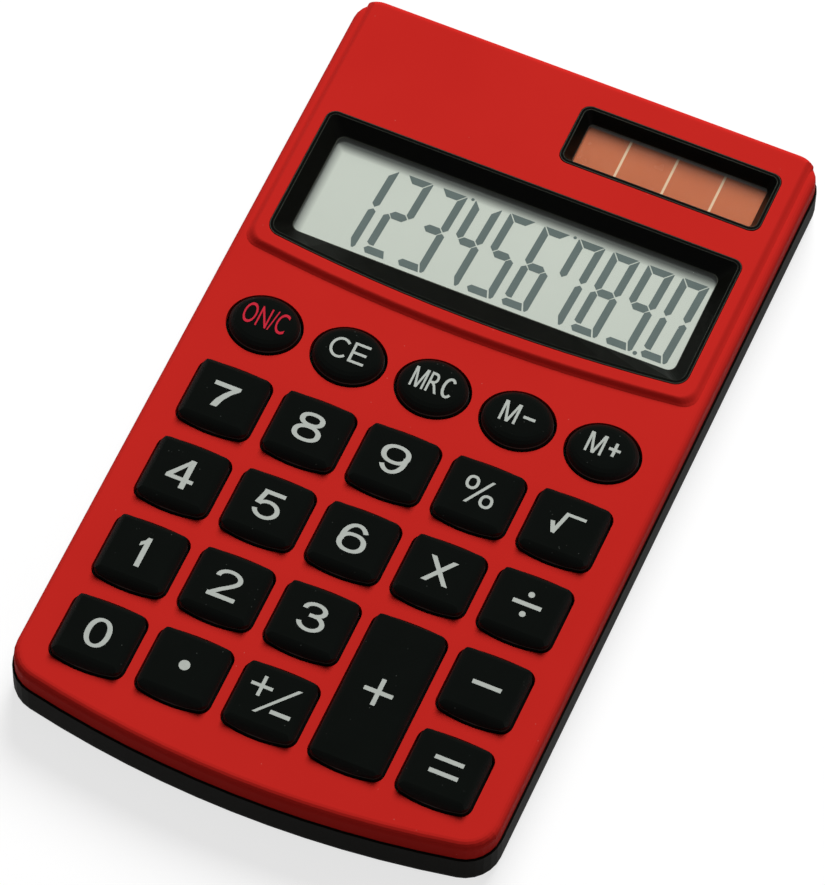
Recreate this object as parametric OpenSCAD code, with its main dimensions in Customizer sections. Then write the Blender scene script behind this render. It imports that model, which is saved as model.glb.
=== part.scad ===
// Pocket calculator with a display, a solar cell and silicone keys.
// Frame: +X right, +Y towards the display end, +Z up, origin under the middle of the case.

/* [Case] */
// Width of the case
case_w = 70.6; // [66:0.2:80]
// Length of the case on its centre line
case_l = 122.6; // [112:0.2:136]
// Height of the keypad face
face_z = 9.4; // [9.2:0.1:11]
// Depth of the front cover's side below the keypad face
cover_side = 3.6; // [3.2:0.1:4]
// Step in from the back cover's side to the front cover's side
cover_inset = 0.3; // [0:0.05:0.4]
// Thickness of the side walls
side_wall = 1.6; // [1.5:0.1:2]
// Thickness of the front cover's face
top_wall = 1.5; // [1.2:0.1:1.6]
// Thickness of the back cover's floor
floor_wall = 1.5; // [1.3:0.1:1.6]
// Rounding of the front cover's edge
edge_round = 1.15; // [0.8:0.05:1.4]
// Rounding of the back cover's edge
base_round = 1.5; // [0.8:0.1:2]
// Corner radius at the display end
corner_top = 3.8; // [3.4:0.1:5]
// Corner radius at the lower end
corner_low = 5.3; // [4.4:0.1:6]
// Radius of the bowed lower end
bow_r = 153; // [140:1:260]
// Open joint that shows between the covers
seam_gap = 0.15; // [0.05:0.05:0.25]
// Height of the lap between the covers
lap_h = 0.9; // [0.6:0.1:1.2]
// Thickness of the lap
lap_t = 0.6; // [0.5:0.05:0.7]

/* [Display] */
// Rise of the display panel over the keypad face
panel_rise = 0.8; // [0.6:0.1:1]
// Distance from the case side to the foot of the panel's step
panel_margin = 1.5; // [1.3:0.1:1.8]
// Length of the panel on the case's centre line
panel_l = 47.2; // [45:0.2:49]
// Run of the panel's step, hollow at its foot and round at its top
step_run = 1.2; // [0.8:0.1:1.5]
// Radius of the panel's bowed lower edge
panel_bow_r = 250; // [200:5:400]
// Distance from the display end of the case to the display bezel
bezel_drop = 20.4; // [20:0.1:21]
// Distance from the panel's step to the bezel's sides
bezel_side = 2.6; // [2.4:0.1:3.2]
// Distance from the panel's lower edge to the bezel
bezel_foot = 2.9; // [2.6:0.1:3.4]
// Radius of the bezel's bowed lower edge
bezel_bow_r = 244; // [200:2:400]
// Width of the sloped rim's flat edge on both bezels
bezel_edge = 0.5; // [0.3:0.05:0.7]
// Width of the bezel's sloped sides
window_side = 2.6; // [2.2:0.1:3.4]
// Width of the bezel's sloped top
window_drop = 2.4; // [2.2:0.1:3]
// Width of the bezel's sloped foot on its centre line
window_foot = 4.5; // [4.3:0.1:5]
// Depth of the clear openings below the panel
window_depth = 1.8; // [1.7:0.05:2]

/* [Solar cell] */
// Width of the solar bezel
solar_w = 30; // [27:0.5:30]
// Distance from the case side to the solar bezel
solar_side = 4.4; // [4.2:0.1:5]
// Distance from the display end of the case to the solar bezel
solar_drop = 5.1; // [4.8:0.1:5.4]
// Distance from the solar bezel to the display bezel
solar_foot = 5.2; // [5.1:0.1:5.8]
// Width of the solar bezel's rim
solar_rim = 1.6; // [1.4:0.1:2]

/* [Keys] */
// Distance from the case side to the first column's space
keypad_side = 3.95; // [3.8:0.05:4.6]
// Distance from the lower end of the case to the lowest row's space
keypad_low = 5.9; // [5.7:0.1:6.5]
// Distance from the panel's lower edge to the oval row's space
keypad_high = 2.3; // [2:0.1:3]
// Space between square keys in a row
key_side_gap = 2.34; // [2.1:0.02:3]
// Space between square keys in a column
key_end_gap = 3.04; // [2.8:0.02:3.6]
// Space between oval keys
oval_side_gap = 2.44; // [2.2:0.02:3]
// How much shorter an oval key is than its row's space
oval_end_gap = 4.74; // [4:0.02:5.2]
// Gap between a key and its hole
key_gap = 0.43; // [0.35:0.01:0.5]
// Rise of a key over the keypad face
key_rise = 1.4; // [1.1:0.1:1.8]
// Travel of a key
key_travel = 1; // [0.6:0.05:1]
// Corner radius of a square key
key_corner = 1.3; // [0.9:0.1:1.8]
// Rounding of a key's sides and rear
key_edge = 1.4; // [1:0.1:1.6]
// Rounding of a key's front, where the top rolls down
key_front = 2; // [1.6:0.1:2.2]
// Radius of a square key's bowed front edge
key_bow_front = 18; // [14:1:40]
// Radius of a square key's bowed rear edge
key_bow_rear = 40; // [30:1:80]
// Radius of the crown on a square key's top
key_crown = 150; // [100:5:300]

/* [Inside] */
// Thickness of the circuit board
board_t = 0.8; // [0.6:0.1:1]
// Thickness of the keypad mat's sheet
mat_t = 0.6; // [0.5:0.05:0.7]
// Thickness of the clear plates
plate_t = 0.5; // [0.4:0.05:0.6]
// Thickness of each glass of the display
glass_t = 0.8; // [0.7:0.05:0.85]
// Diameter of the button cell
cell_d = 11.6; // [11.6:0.1:12.2]
// Height of the button cell
cell_h = 3.05; // [2.1:0.05:3.1]
// Clearance between fixed pieces
fit_gap = 0.1; // [0.05:0.01:0.15]
// Clearance round the battery door
door_gap = 0.15; // [0.1:0.01:0.25]

/* [Hidden] */
$fa = 4;
$fs = 0.3;
arc_steps = 6;
bow_steps = 12;
edge_steps = 5;
panel_steps = 9;
key_steps = 5;
least_corner = 0.3;
crown_steps = 2880;
oval_steps = 48;
round_steps = 60;

// Heights of the main layers
seam_z = face_z - cover_side;
panel_z = face_z + panel_rise;
face_under = face_z - top_wall;
panel_under = panel_z - top_wall;
key_space = 2.1;
board_top = face_under - key_space;
board_z = board_top - board_t;
touch = 0.02;

// The case's end lines and the key grid
end_top = case_l / 2;
end_low = -case_l / 2;
columns = 5;
rows = 5;
oval_row = rows - 1;
col_pitch = (case_w - 2 * keypad_side) / columns;
row_pitch = (case_l - panel_l - keypad_low - keypad_high) / rows;
key_w = col_pitch - key_side_gap;
key_l = row_pitch - key_end_gap;
oval_w = col_pitch - oval_side_gap;
oval_l = row_pitch - oval_end_gap;
function col_x(c) = (c - (columns - 1) / 2) * col_pitch;
function row_y(r) = end_low + keypad_low + (r + 0.5) * row_pitch;

// Each key: name, column, lowest row that it covers, number of rows
KEYS = [
    ["key_0", 0, 0, 1], ["key_point", 1, 0, 1], ["key_sign", 2, 0, 1],
    ["key_plus", 3, 0, 2], ["key_equals", 4, 0, 1],
    ["key_1", 0, 1, 1], ["key_2", 1, 1, 1], ["key_3", 2, 1, 1], ["key_minus", 4, 1, 1],
    ["key_4", 0, 2, 1], ["key_5", 1, 2, 1], ["key_6", 2, 2, 1],
    ["key_times", 3, 2, 1], ["key_divide", 4, 2, 1],
    ["key_7", 0, 3, 1], ["key_8", 1, 3, 1], ["key_9", 2, 3, 1],
    ["key_percent", 3, 3, 1], ["key_root", 4, 3, 1],
    ["key_on_clear", 0, oval_row, 1], ["key_clear_entry", 1, oval_row, 1],
    ["key_memory_recall", 2, oval_row, 1], ["key_memory_minus", 3, oval_row, 1],
    ["key_memory_plus", 4, oval_row, 1],
];
function is_oval(k) = k[2] == oval_row;
function key_len(k) = key_l + (k[3] - 1) * row_pitch;
// The crown along a key, flatter on a long one
function long_crown(k) = key_crown * key_len(k) / key_l;
function key_at(k) = [col_x(k[1]), row_y(k[2] + (k[3] - 1) / 2), 0];

// A key's own heights: crowned top, underside and contact pill
key_top = face_z + key_rise;
pill_r = 2;
pill_t = 0.3;
pill_clear = 0.1;
pill_z = board_top + key_travel + pill_clear;
key_z = pill_z + pill_t / 2;
oval_crown = 0.1;
oval_mid = (key_front - key_edge) / 2;
// How far a trimming profile stands past the wall that it trims
trim = 0.12;

// The mat's collars round the keys
collar_gap = 0.3;
collar_t = 0.5;
collar_h = 0.8;
mat_edge = 1.2;
mat_top = board_top + mat_t;

// Posts of the front cover, staked under the board: [column gap, row gap]
POSTS = [[0, 3], [3, 3], [1, 2], [2, 2], [0, 1], [3, 1], [0, 0], [1, 0]];
post_r = 0.8;
post_head_r = 1.5;
post_head_h = 0.5;
function post_at(p) = [col_x(p[0] + 0.5), row_y(p[1] + 0.5), 0];

// The display's place, its sloped bezel and the layers below it
bezel_w = case_w - 2 * (panel_margin + bezel_side);
bezel_top = end_top - bezel_drop;
bezel_low = end_top - panel_l + bezel_foot;
bezel_rise = 0.1;
bezel_lip = 0.5;
bezel_corner_top = 1.4;
bezel_corner_low = 2;
window_w = bezel_w - 2 * window_side;
window_top = bezel_top - window_drop;
window_low = bezel_low + window_foot;
window_h = window_top - window_low;
window_mid = (window_top + window_low) / 2;
window_corner = 1.2;
plate_top = panel_z - window_depth;
plate_z = plate_top - plate_t;
plate_lap = 1.2;
plate_corner = 0.6;
glass_ledge = 1.8;
glass_mid_z = plate_z - touch - glass_t;
glass_low_z = glass_mid_z - touch - glass_t;
reflector_t = 0.15;

// The solar cell's place
solar_low = bezel_top + solar_foot;
solar_h = end_top - solar_drop - solar_low;
solar_x = case_w / 2 - solar_side - solar_w / 2;
solar_y = solar_low + solar_h / 2;
solar_corner = 1.5;
solar_open_w = solar_w - 2 * solar_rim;
solar_open_h = solar_h - 2 * solar_rim;
solar_open_corner = 0.6;
solar_lap = 0.7;
solar_t = 1.1;
lead_r = 0.35;
lead_spacing = solar_w / 2;

// Screws: two between the display and the solar cell, two at the lower end
screw_r = 0.95;
screw_head_r = 2;
screw_head_h = 1.2;
screw_gap = 0.3;
screw_seat = 1.9;
screw_tip = 0.8;
drive_w = 0.5;
drive_l = 2.4;
drive_h = 0.6;
boss_r = 1.8;
boss_inset = 4;
boss_end = 5.4;
pillar_r = 2.8;
pillar_drop = 1.8;
pillar_top = seam_z - pillar_drop;
SCREWS = concat(
    [for (s = [-1, 1]) [s * (case_w / 2 - boss_inset), (bezel_top + solar_low) / 2, panel_under]],
    [for (s = [-1, 1]) [s * 1.5 * col_pitch, end_low + boss_end, face_under]]);

// The board's extent
board_edge = 0.4;
board_w = case_w - 2 * (cover_inset + side_wall + board_edge);
board_margin = 1.5;
board_low = row_y(0) - key_l / 2 - board_margin;
board_high = bezel_top + screw_gap;
board_corner = 3.5;

// The battery bay beside the solar cell, and its door in the floor
bay_x = -case_w / 4;
bay_drop = 2.5;
bay_y = solar_y - bay_drop;
bay_gap = 0.2;
bay_wall = 1.4;
cell_z = floor_wall + door_gap;
cell_step = 0.5;
cap_inset = 1;
door_side = 0.5;
door_w = cell_d + 2 * door_side;
door_t = floor_wall - 2 * door_gap;
door_recess = 0.1;
door_hinge_run = 3.2;
door_latch_run = 1.6;
door_hinge_y = bay_y - cell_d / 2 - door_hinge_run;
door_end_y = bay_y + cell_d / 2 + door_latch_run;
hinge_r = door_t / 2 + touch;
hinge_axis_y = door_hinge_y + door_gap + door_t / 2;
hinge_axis_z = door_recess + door_t / 2;
door_notch_r = 2.5;
door_notch_h = 0.5;
tongue_w = 2.2;
tongue_l = 1.4;
tongue_t = 0.7;
tongue_root = 0.9;
tongue_x = 4.5;
strip_w = 2.4;
strip_t = 0.25;
strip_lap = 2.2;
strip_z = board_z - touch - strip_t;

// The small parts under the board
dome_r = 6;
dome_h = 1.3;
dome_steps = 180;
capacitor_r = 1.5;
capacitor_l = 5.4;
resistor_r = 0.75;
resistor_l = 3.6;
diode_r = 0.8;
diode_l = 3;

// Points on an arc, both ends included
function arc(x, y, r, from, to, steps) =
    [for (i = [0:steps]) let (a = from + (to - from) * i / steps) [x + r * cos(a), y + r * sin(a)]];

// A list without its first and last items
function inner(list) = [for (i = [1:len(list) - 2]) list[i]];

// The lower end of an outline: round corners into an edge bowed about (0, bow_y)
function low_corner(half_w, bow_y, bow, r) =
    let (x = half_w - r, turn = asin(x / (bow - r)))
    arc(x, bow_y - (bow - r) * cos(turn), r, turn - 90, 0, arc_steps);
function low_edge(half_w, bow_y, bow, r) =
    let (turn = asin((half_w - r) / (bow - r)))
    inner(arc(0, bow_y, bow, 270 - turn, 270 + turn, bow_steps));

// The same points on the other side, in order
function mirrored(list) = [for (i = [len(list) - 1:-1:0]) [-list[i][0], list[i][1]]];

// A rounded outline with a straight top and a bowed lower edge
function bowed(half_w, top, bow_y, bow, r_top, r_low) =
    let (low = low_corner(half_w, bow_y, bow, r_low),
         high = arc(half_w - r_top, top - r_top, r_top, 0, 90, arc_steps))
    concat(low, high, mirrored(high), mirrored(low), low_edge(half_w, bow_y, bow, r_low));

// The case's outline, drawn in by an inset
function case_outline(inset) =
    bowed(case_w / 2 - inset, end_top - inset, end_low + bow_r, bow_r - inset,
          max(corner_top - inset, least_corner), max(corner_low - inset, least_corner));

// The front cover's outline, drawn in by an inset
function cover_outline(inset) = case_outline(cover_inset + inset);

// The display bezel's outline, drawn in by an inset
function bezel_outline(inset) =
    bowed(bezel_w / 2 - inset, bezel_top - inset, bezel_low + bezel_bow_r, bezel_bow_r - inset,
          max(bezel_corner_top - inset, least_corner), max(bezel_corner_low - inset, least_corner));

// The display's clear opening, with the same number of points as the bezel
straight_r = 4000;
window_outline =
    bowed(window_w / 2, window_top, window_low + straight_r, straight_r, window_corner, window_corner);

// The panel's outline: one inset at its step, another at the end of the case
function panel_outline(inset, end_inset) =
    let (half_w = case_w / 2 - panel_margin - inset,
         bow_y = end_top - panel_l + panel_bow_r,
         bow = panel_bow_r - inset,
         x = case_w / 2 - corner_top,
         r = corner_top - cover_inset - end_inset,
         low = low_corner(half_w, bow_y, bow, panel_corner),
         high = arc(x, end_top - corner_top, r, acos((half_w - x) / r), 90, arc_steps))
    concat(low, high, mirrored(high), mirrored(low), low_edge(half_w, bow_y, bow, panel_corner));
panel_corner = 2.2;

// A rectangle with round corners, centred
function rounded(w, l, r) =
    let (low = arc(w / 2 - r, r - l / 2, r, -90, 0, arc_steps),
         high = arc(w / 2 - r, l / 2 - r, r, 0, 90, arc_steps))
    concat(low, high, mirrored(high), mirrored(low));

// A square key's outline, grown by a gap: bowed front and rear edges, round corners
function key_outline(l, grow) =
    let (x = key_w / 2 - key_corner,
         r = key_corner + grow,
         front_turn = asin(x / (key_bow_front - key_corner)),
         rear_turn = asin(x / (key_bow_rear - key_corner)),
         front_mid = key_bow_front - l / 2,
         rear_mid = l / 2 - key_bow_rear,
         front_y = front_mid - (key_bow_front - key_corner) * cos(front_turn),
         rear_y = rear_mid + (key_bow_rear - key_corner) * cos(rear_turn),
         front = arc(x, front_y, r, front_turn - 90, 0, key_steps),
         rear = arc(x, rear_y, r, 0, 90 - rear_turn, key_steps))
    concat(front, rear,
        inner(arc(0, rear_mid, key_bow_rear + grow, 90 - rear_turn, 90 + rear_turn, key_steps)),
        mirrored(rear), mirrored(front),
        inner(arc(0, front_mid, key_bow_front + grow, 270 - front_turn, 270 + front_turn, key_steps)));

// A solid through outlines of equal count, given as [outline, height] from below
module loft(rings) {
    count = len(rings[0][0]);
    points = [for (ring = rings) for (p = ring[0]) [p[0], p[1], ring[1]]];
    sides = [
        for (k = [0:len(rings) - 2]) for (i = [0:count - 1])
            let (a = k * count + i, b = k * count + (i + 1) % count)
            each [[a, b + count, b], [a, a + count, b + count]]
    ];
    floor_face = [for (i = [0:count - 1]) i];
    top_face = [for (i = [count - 1:-1:0]) (len(rings) - 1) * count + i];
    polyhedron(points, concat([floor_face, top_face], sides));
}

// A straight-sided solid on an outline
module prism(outline, from, to) {
    translate([0, 0, from])
        linear_extrude(to - from)
            polygon(outline);
}

// An upright cylinder between two heights
module post(r, from, to) {
    translate([0, 0, from])
        cylinder(r = r, h = to - from);
}

// Places its children at every screw
module at_screws() {
    for (s = SCREWS)
        translate([s[0], s[1], 0])
            children();
}

// Half of a key's side view: straight wall and round edge
module edge_profile(half_w, edge) {
    translate([0, key_z])
        square([half_w, key_top - key_z - edge]);
    translate([0, key_z])
        square([half_w - edge, key_top - key_z]);
    intersection() {
        translate([half_w - edge, key_top - edge])
            circle(r = edge, $fn = round_steps);
        translate([half_w - edge, key_top - edge])
            square(edge);
    }
}

// The same with a crowned top
module key_profile(half_w, edge, crown) {
    intersection() {
        edge_profile(half_w, edge);
        translate([0, key_top - crown])
            circle(r = crown, $fn = crown_steps);
    }
}

// A key's whole side view, drawn along Y, with the rounding of its +X and -X edge
module key_rib(half_w, edges, crown, length) {
    for (s = [0, 1])
        mirror([s, 0, 0])
            translate([0, length / 2, 0])
                rotate([90, 0, 0])
                    linear_extrude(length)
                        key_profile(half_w, edges[s], crown);
}

// An oval key's outline, drawn in by a share of its edge rounding
function oval_outline(share) =
    [for (i = [0:oval_steps - 1])
        let (a = 360 * i / oval_steps, edge = sin(a) < 0 ? key_front : key_edge)
        [(oval_w / 2 - share * key_edge) * cos(a), (oval_l / 2 - share * edge) * sin(a)]];

// The outline of an oval key's top, shrunk about its own middle
function oval_crown_outline(share) =
    [for (p = oval_outline(1)) [share * p[0], oval_mid + share * (p[1] - oval_mid)]];

// An oval key: straight wall, round edge, crowned top
function oval_rings() =
    concat([[oval_outline(0), key_z]],
        [for (i = [0:edge_steps]) let (a = 90 * i / edge_steps)
            [oval_outline(1 - cos(a)), key_top - oval_crown - key_edge * (1 - sin(a))]],
        [for (share = [0.6, 0.25])
            [oval_crown_outline(share), key_top - oval_crown * share * share]]);

// The room that a key takes through a layer, larger all round by grow
module key_room(k, grow, from, to) {
    translate(key_at(k)) {
        if (is_oval(k))
            scale([1, (oval_l + 2 * grow) / (oval_w + 2 * grow), 1])
                post(oval_w / 2 + grow, from, to);
        else
            prism(key_outline(key_len(k), grow), from, to);
    }
}

// One silicone key with its contact pill below
module key(k) {
    color([0.06, 0.07, 0.06])
        translate(key_at(k)) {
            if (is_oval(k))
                loft(oval_rings());
            else
                intersection() {
                    prism(key_outline(key_len(k), 0), key_z, key_top + 1);
                    key_rib(key_w / 2 + trim, [key_edge, key_edge], key_crown, 2 * key_len(k));
                    rotate([0, 0, 90])
                        key_rib(key_len(k) / 2 + trim, [key_edge, key_front], long_crown(k), 2 * key_w);
                }
            post(pill_r, pill_z, key_z + pill_t);
        }
}

// The front cover's side and rounded edge
function cover_rings() =
    concat([[cover_outline(0), seam_z + seam_gap]],
        [for (i = [0:edge_steps]) let (a = 90 * i / edge_steps)
            [cover_outline(edge_round * (1 - cos(a))), face_z - edge_round * (1 - sin(a))]]);

// The panel: a soft step on three sides, the cover's own rounding at the case's end
function panel_rings() =
    concat([[panel_outline(0, 0), seam_z + lap_h]],
        [for (i = [0:panel_steps])
            let (a = 90 * i / panel_steps,
                 z = panel_z - edge_round * (1 - sin(a)),
                 up = min(1, max(0, z - face_z) / panel_rise))
            [panel_outline(step_run * acos(1 - 2 * up) / 180, edge_round * (1 - cos(a))), z]]);

// The upper shell: side, face, raised panel, holes, screw bosses and board posts
module front_cover() {
    color([0.77, 0.16, 0.15])
        difference() {
            union() {
                difference() {
                    union() {
                        loft(cover_rings());
                        loft(panel_rings());
                    }
                    prism(cover_outline(side_wall), seam_z - 1, face_under);
                    prism(panel_outline(side_wall, side_wall), seam_z, panel_under);
                    prism(cover_outline(side_wall - lap_t - fit_gap), seam_z - 1, seam_z + lap_h + fit_gap);
                }
                for (s = SCREWS)
                    translate([s[0], s[1], 0])
                        post(boss_r, pillar_top + fit_gap, s[2] + touch);
                for (p = POSTS)
                    translate(post_at(p)) {
                        post(post_r, board_z - post_head_h, face_under + touch);
                        post(post_head_r, board_z - touch - post_head_h, board_z - touch);
                    }
            }
            for (k = KEYS)
                key_room(k, key_gap, board_top, key_top);
            prism(bezel_outline(-fit_gap), board_top, panel_z + 1);
            translate([solar_x, solar_y, 0])
                prism(rounded(solar_w + 2 * fit_gap, solar_h + 2 * fit_gap, solar_corner), board_top, panel_z + 1);
            at_screws()
                post(screw_r + fit_gap, pillar_top, face_under - screw_tip + fit_gap);
        }
}

// The back cover's rounded edge and side
function base_rings() =
    concat(
        [for (i = [edge_steps:-1:0]) let (a = 90 * i / edge_steps)
            [case_outline(base_round * (1 - cos(a))), base_round * (1 - sin(a))]],
        [[case_outline(0), seam_z]]);

// The lower shell: floor, side, lap, screw pillars and battery bay
module back_cover() {
    color([0.11, 0.1, 0.09])
        difference() {
            union() {
                difference() {
                    loft(base_rings());
                    prism(cover_outline(side_wall), floor_wall, seam_z + 1);
                }
                difference() {
                    prism(cover_outline(side_wall - lap_t), seam_z - 1, seam_z + lap_h);
                    prism(cover_outline(side_wall), seam_z - 2, seam_z + lap_h + 1);
                }
                at_screws()
                    post(pillar_r, floor_wall / 2, pillar_top);
                translate([bay_x, bay_y, 0])
                    post(cell_d / 2 + bay_gap + bay_wall, floor_wall / 2, cell_z + cell_h - cell_step);
            }
            at_screws() {
                post(screw_r + screw_gap, -1, seam_z);
                post(screw_head_r + screw_gap, -1, screw_seat);
            }
            translate([bay_x, bay_y, 0]) {
                post(cell_d / 2 + bay_gap, floor_wall / 2, seam_z);
                translate([-strip_w / 2 - bay_gap, -cell_d, floor_wall])
                    cube([strip_w + 2 * bay_gap, cell_d, seam_z]);
            }
            translate([bay_x - door_w / 2 - door_gap, door_hinge_y, -1])
                cube([door_w + 2 * door_gap, door_end_y + door_gap - door_hinge_y, floor_wall + 1]);
            translate([bay_x, door_end_y, 0])
                post(door_notch_r, -1, door_notch_h);
        }
}

// The battery door: a plate with a round hinge edge and two tongues that hook behind the floor
module battery_door() {
    color([0.12, 0.11, 0.1])
        difference() {
            union() {
                translate([bay_x - door_w / 2, hinge_axis_y, door_recess])
                    cube([door_w, door_end_y - hinge_axis_y, door_t]);
                translate([bay_x - door_w / 2, hinge_axis_y, hinge_axis_z])
                    rotate([0, 90, 0])
                        cylinder(r = hinge_r, h = door_w);
                for (s = [-1, 1])
                    translate([bay_x + s * tongue_x - tongue_w / 2, door_hinge_y, 0]) {
                        translate([0, -tongue_l, floor_wall + door_gap])
                            cube([tongue_w, tongue_l + tongue_root, tongue_t]);
                        translate([0, door_gap, hinge_axis_z])
                            cube([tongue_w, tongue_root - door_gap,
                                  floor_wall + door_gap + tongue_t - hinge_axis_z]);
                    }
            }
            translate([bay_x, door_end_y, 0])
                post(door_notch_r, -1, door_notch_h);
        }
}

// The black frame of the display: sloped walls, and a flange behind the panel
module display_bezel() {
    color([0.05, 0.05, 0.04])
        difference() {
            union() {
                prism(bezel_outline(0), plate_z, panel_z + bezel_rise);
                prism(bezel_outline(-bezel_lip), plate_z, panel_under - touch);
            }
            loft([[window_outline, plate_z - 1], [window_outline, plate_top],
                  [bezel_outline(bezel_edge), panel_z + bezel_rise],
                  [bezel_outline(bezel_edge), panel_z + 1]]);
            translate([0, window_mid, 0])
                prism(rounded(window_w + 2 * (plate_lap + fit_gap), window_h + 2 * (plate_lap + fit_gap),
                              plate_corner), plate_z - 1, plate_top);
        }
}

// The clear plate over the display
module display_window() {
    color([0.9, 0.95, 0.95, 0.4])
        translate([0, window_mid, 0])
            prism(rounded(window_w + 2 * plate_lap, window_h + 2 * plate_lap, plate_corner),
                  plate_z, plate_top - touch);
}

// The display's front glass, with a contact ledge at its lower edge
module lcd_front_glass() {
    color([0.76, 0.8, 0.75])
        translate([-window_w / 2 - plate_lap, window_low - plate_lap - glass_ledge, glass_mid_z])
            cube([window_w + 2 * plate_lap, window_h + 2 * plate_lap + glass_ledge, glass_t]);
}

// The display's rear glass
module lcd_rear_glass() {
    color([0.74, 0.78, 0.73])
        translate([-window_w / 2 - plate_lap, window_low - plate_lap, glass_low_z])
            cube([window_w + 2 * plate_lap, window_h + 2 * plate_lap, glass_t]);
}

// The foil behind the display
module lcd_reflector() {
    color([0.8, 0.82, 0.8])
        translate([-window_w / 2, window_low, glass_low_z - touch - reflector_t])
            cube([window_w, window_h, reflector_t]);
}

// The elastomer strip that joins the board to the display's ledge
module lcd_connector() {
    color([0.35, 0.4, 0.45])
        translate([-window_w / 2, window_low - plate_lap - glass_ledge, board_top + touch])
            cube([window_w, glass_ledge - fit_gap, glass_mid_z - board_top - 2 * touch]);
}

// The black frame of the solar cell
module solar_bezel() {
    color([0.05, 0.05, 0.04])
        translate([solar_x, solar_y, 0])
            difference() {
                union() {
                    prism(rounded(solar_w, solar_h, solar_corner), plate_z, panel_z + bezel_rise);
                    prism(rounded(solar_w + 2 * bezel_lip, solar_h + 2 * bezel_lip, solar_corner),
                          plate_z, panel_under - touch);
                }
                loft([[rounded(solar_open_w, solar_open_h, solar_open_corner), plate_z - 1],
                      [rounded(solar_open_w, solar_open_h, solar_open_corner), plate_top],
                      [rounded(solar_w - 2 * bezel_edge, solar_h - 2 * bezel_edge, solar_corner - bezel_edge),
                       panel_z + bezel_rise],
                      [rounded(solar_w - 2 * bezel_edge, solar_h - 2 * bezel_edge, solar_corner - bezel_edge),
                       panel_z + 1]]);
                prism(rounded(solar_open_w + 2 * (solar_lap + fit_gap), solar_open_h + 2 * (solar_lap + fit_gap),
                              plate_corner), plate_z - 1, plate_top);
            }
}

// The clear plate over the solar cell
module solar_window() {
    color([0.9, 0.9, 0.85, 0.4])
        translate([solar_x, solar_y, 0])
            prism(rounded(solar_open_w + 2 * solar_lap, solar_open_h + 2 * solar_lap, plate_corner),
                  plate_z, plate_top - touch);
}

// The solar cell behind its plate
module solar_cell() {
    color([0.73, 0.42, 0.29])
        translate([solar_x - solar_open_w / 2 - solar_lap, solar_y - solar_open_h / 2 - solar_lap,
                   plate_z - touch - solar_t])
            cube([solar_open_w + 2 * solar_lap, solar_open_h + 2 * solar_lap, solar_t]);
}

// Two leads from the back of the solar cell down to the edge of the board
module solar_leads() {
    lead_z = plate_z - 2 * touch - solar_t - lead_r;
    color([0.6, 0.1, 0.1])
        for (s = [-1, 1])
            translate([solar_x + s * lead_spacing / 2, board_high - 2 * lead_r, 0]) {
                post(lead_r, board_top + touch, lead_z);
                translate([0, 0, lead_z]) {
                    sphere(r = lead_r);
                    rotate([-90, 0, 0])
                        cylinder(r = lead_r, h = solar_y - board_high);
                }
            }
}

// The silicone sheet that carries the keys, with a collar round each
module keypad_mat() {
    mat_high = row_y(oval_row) + oval_l / 2 + collar_gap + collar_t + mat_edge;
    color([0.2, 0.2, 0.2])
        difference() {
            union() {
                translate([0, (mat_high + board_low) / 2, 0])
                    prism(rounded(board_w - board_edge, mat_high - board_low, board_corner),
                          board_top + touch, mat_top);
                for (k = KEYS)
                    key_room(k, collar_gap + collar_t, board_top + touch, mat_top + collar_h);
            }
            for (k = KEYS)
                key_room(k, collar_gap, board_z, face_z);
            for (p = POSTS)
                translate(post_at(p))
                    post(post_r + fit_gap, board_z, face_z);
            at_screws()
                post(boss_r + fit_gap, board_z, face_z);
        }
}

// The circuit board, with a contact pad under each key
module circuit_board() {
    pad_t = 0.05;
    pad_r = pill_r + board_edge;
    color([0.1, 0.35, 0.2])
        difference() {
            union() {
                translate([0, (board_high + board_low) / 2, 0])
                    prism(rounded(board_w, board_high - board_low, board_corner), board_z, board_top);
                for (k = KEYS)
                    translate(key_at(k))
                        post(pad_r, board_top - touch, board_top + pad_t);
            }
            for (p = POSTS)
                translate(post_at(p))
                    post(post_r + fit_gap, 0, face_z);
            at_screws()
                post(boss_r + fit_gap, 0, face_z);
        }
}

// The resin dome over the chip, under the board
module chip_cover() {
    ball_r = (dome_r * dome_r + dome_h * dome_h) / (2 * dome_h);
    color([0.05, 0.05, 0.05])
        translate([0, window_mid, board_z - touch])
            intersection() {
                translate([0, 0, ball_r - dome_h])
                    sphere(r = ball_r, $fn = dome_steps);
                post(dome_r + 1, -dome_h - 1, 0);
            }
}

// A part with a round body lying under the board along X
module lying(r, length) {
    translate([-length / 2, 0, board_z - touch - r])
        rotate([0, 90, 0])
            cylinder(r = r, h = length);
}

// The smoothing capacitor
module capacitor() {
    color([0.15, 0.2, 0.45])
        translate([window_w / 4, window_mid + window_h / 4, 0])
            lying(capacitor_r, capacitor_l);
}

// Two resistors
module resistors() {
    color([0.75, 0.65, 0.5])
        for (s = [-1, 1])
            translate([-window_w / 4, window_mid + s * 2 * resistor_r, 0])
                lying(resistor_r, resistor_l);
}

// The diode that limits the solar cell's voltage
module regulator_diode() {
    color([0.8, 0.4, 0.2])
        translate([window_w / 4, window_mid - window_h / 4, 0])
            lying(diode_r, diode_l);
}

// The button cell: a can with a smaller cap on top
module battery() {
    color([0.75, 0.76, 0.78])
        translate([bay_x, bay_y, 0]) {
            post(cell_d / 2, cell_z, cell_z + cell_h - cell_step);
            post(cell_d / 2 - cap_inset, cell_z, cell_z + cell_h);
        }
}

// The strip that presses on the cell's cap
module battery_contact_top() {
    color([0.8, 0.75, 0.55])
        translate([bay_x, bay_y, 0]) {
            post(cell_d / 4, cell_z + cell_h + touch, strip_z + strip_t);
            translate([strip_w / 2 + bay_gap, board_high - strip_lap - bay_y, strip_z])
                cube([strip_w, bay_y - board_high + strip_lap, strip_t]);
        }
}

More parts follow.
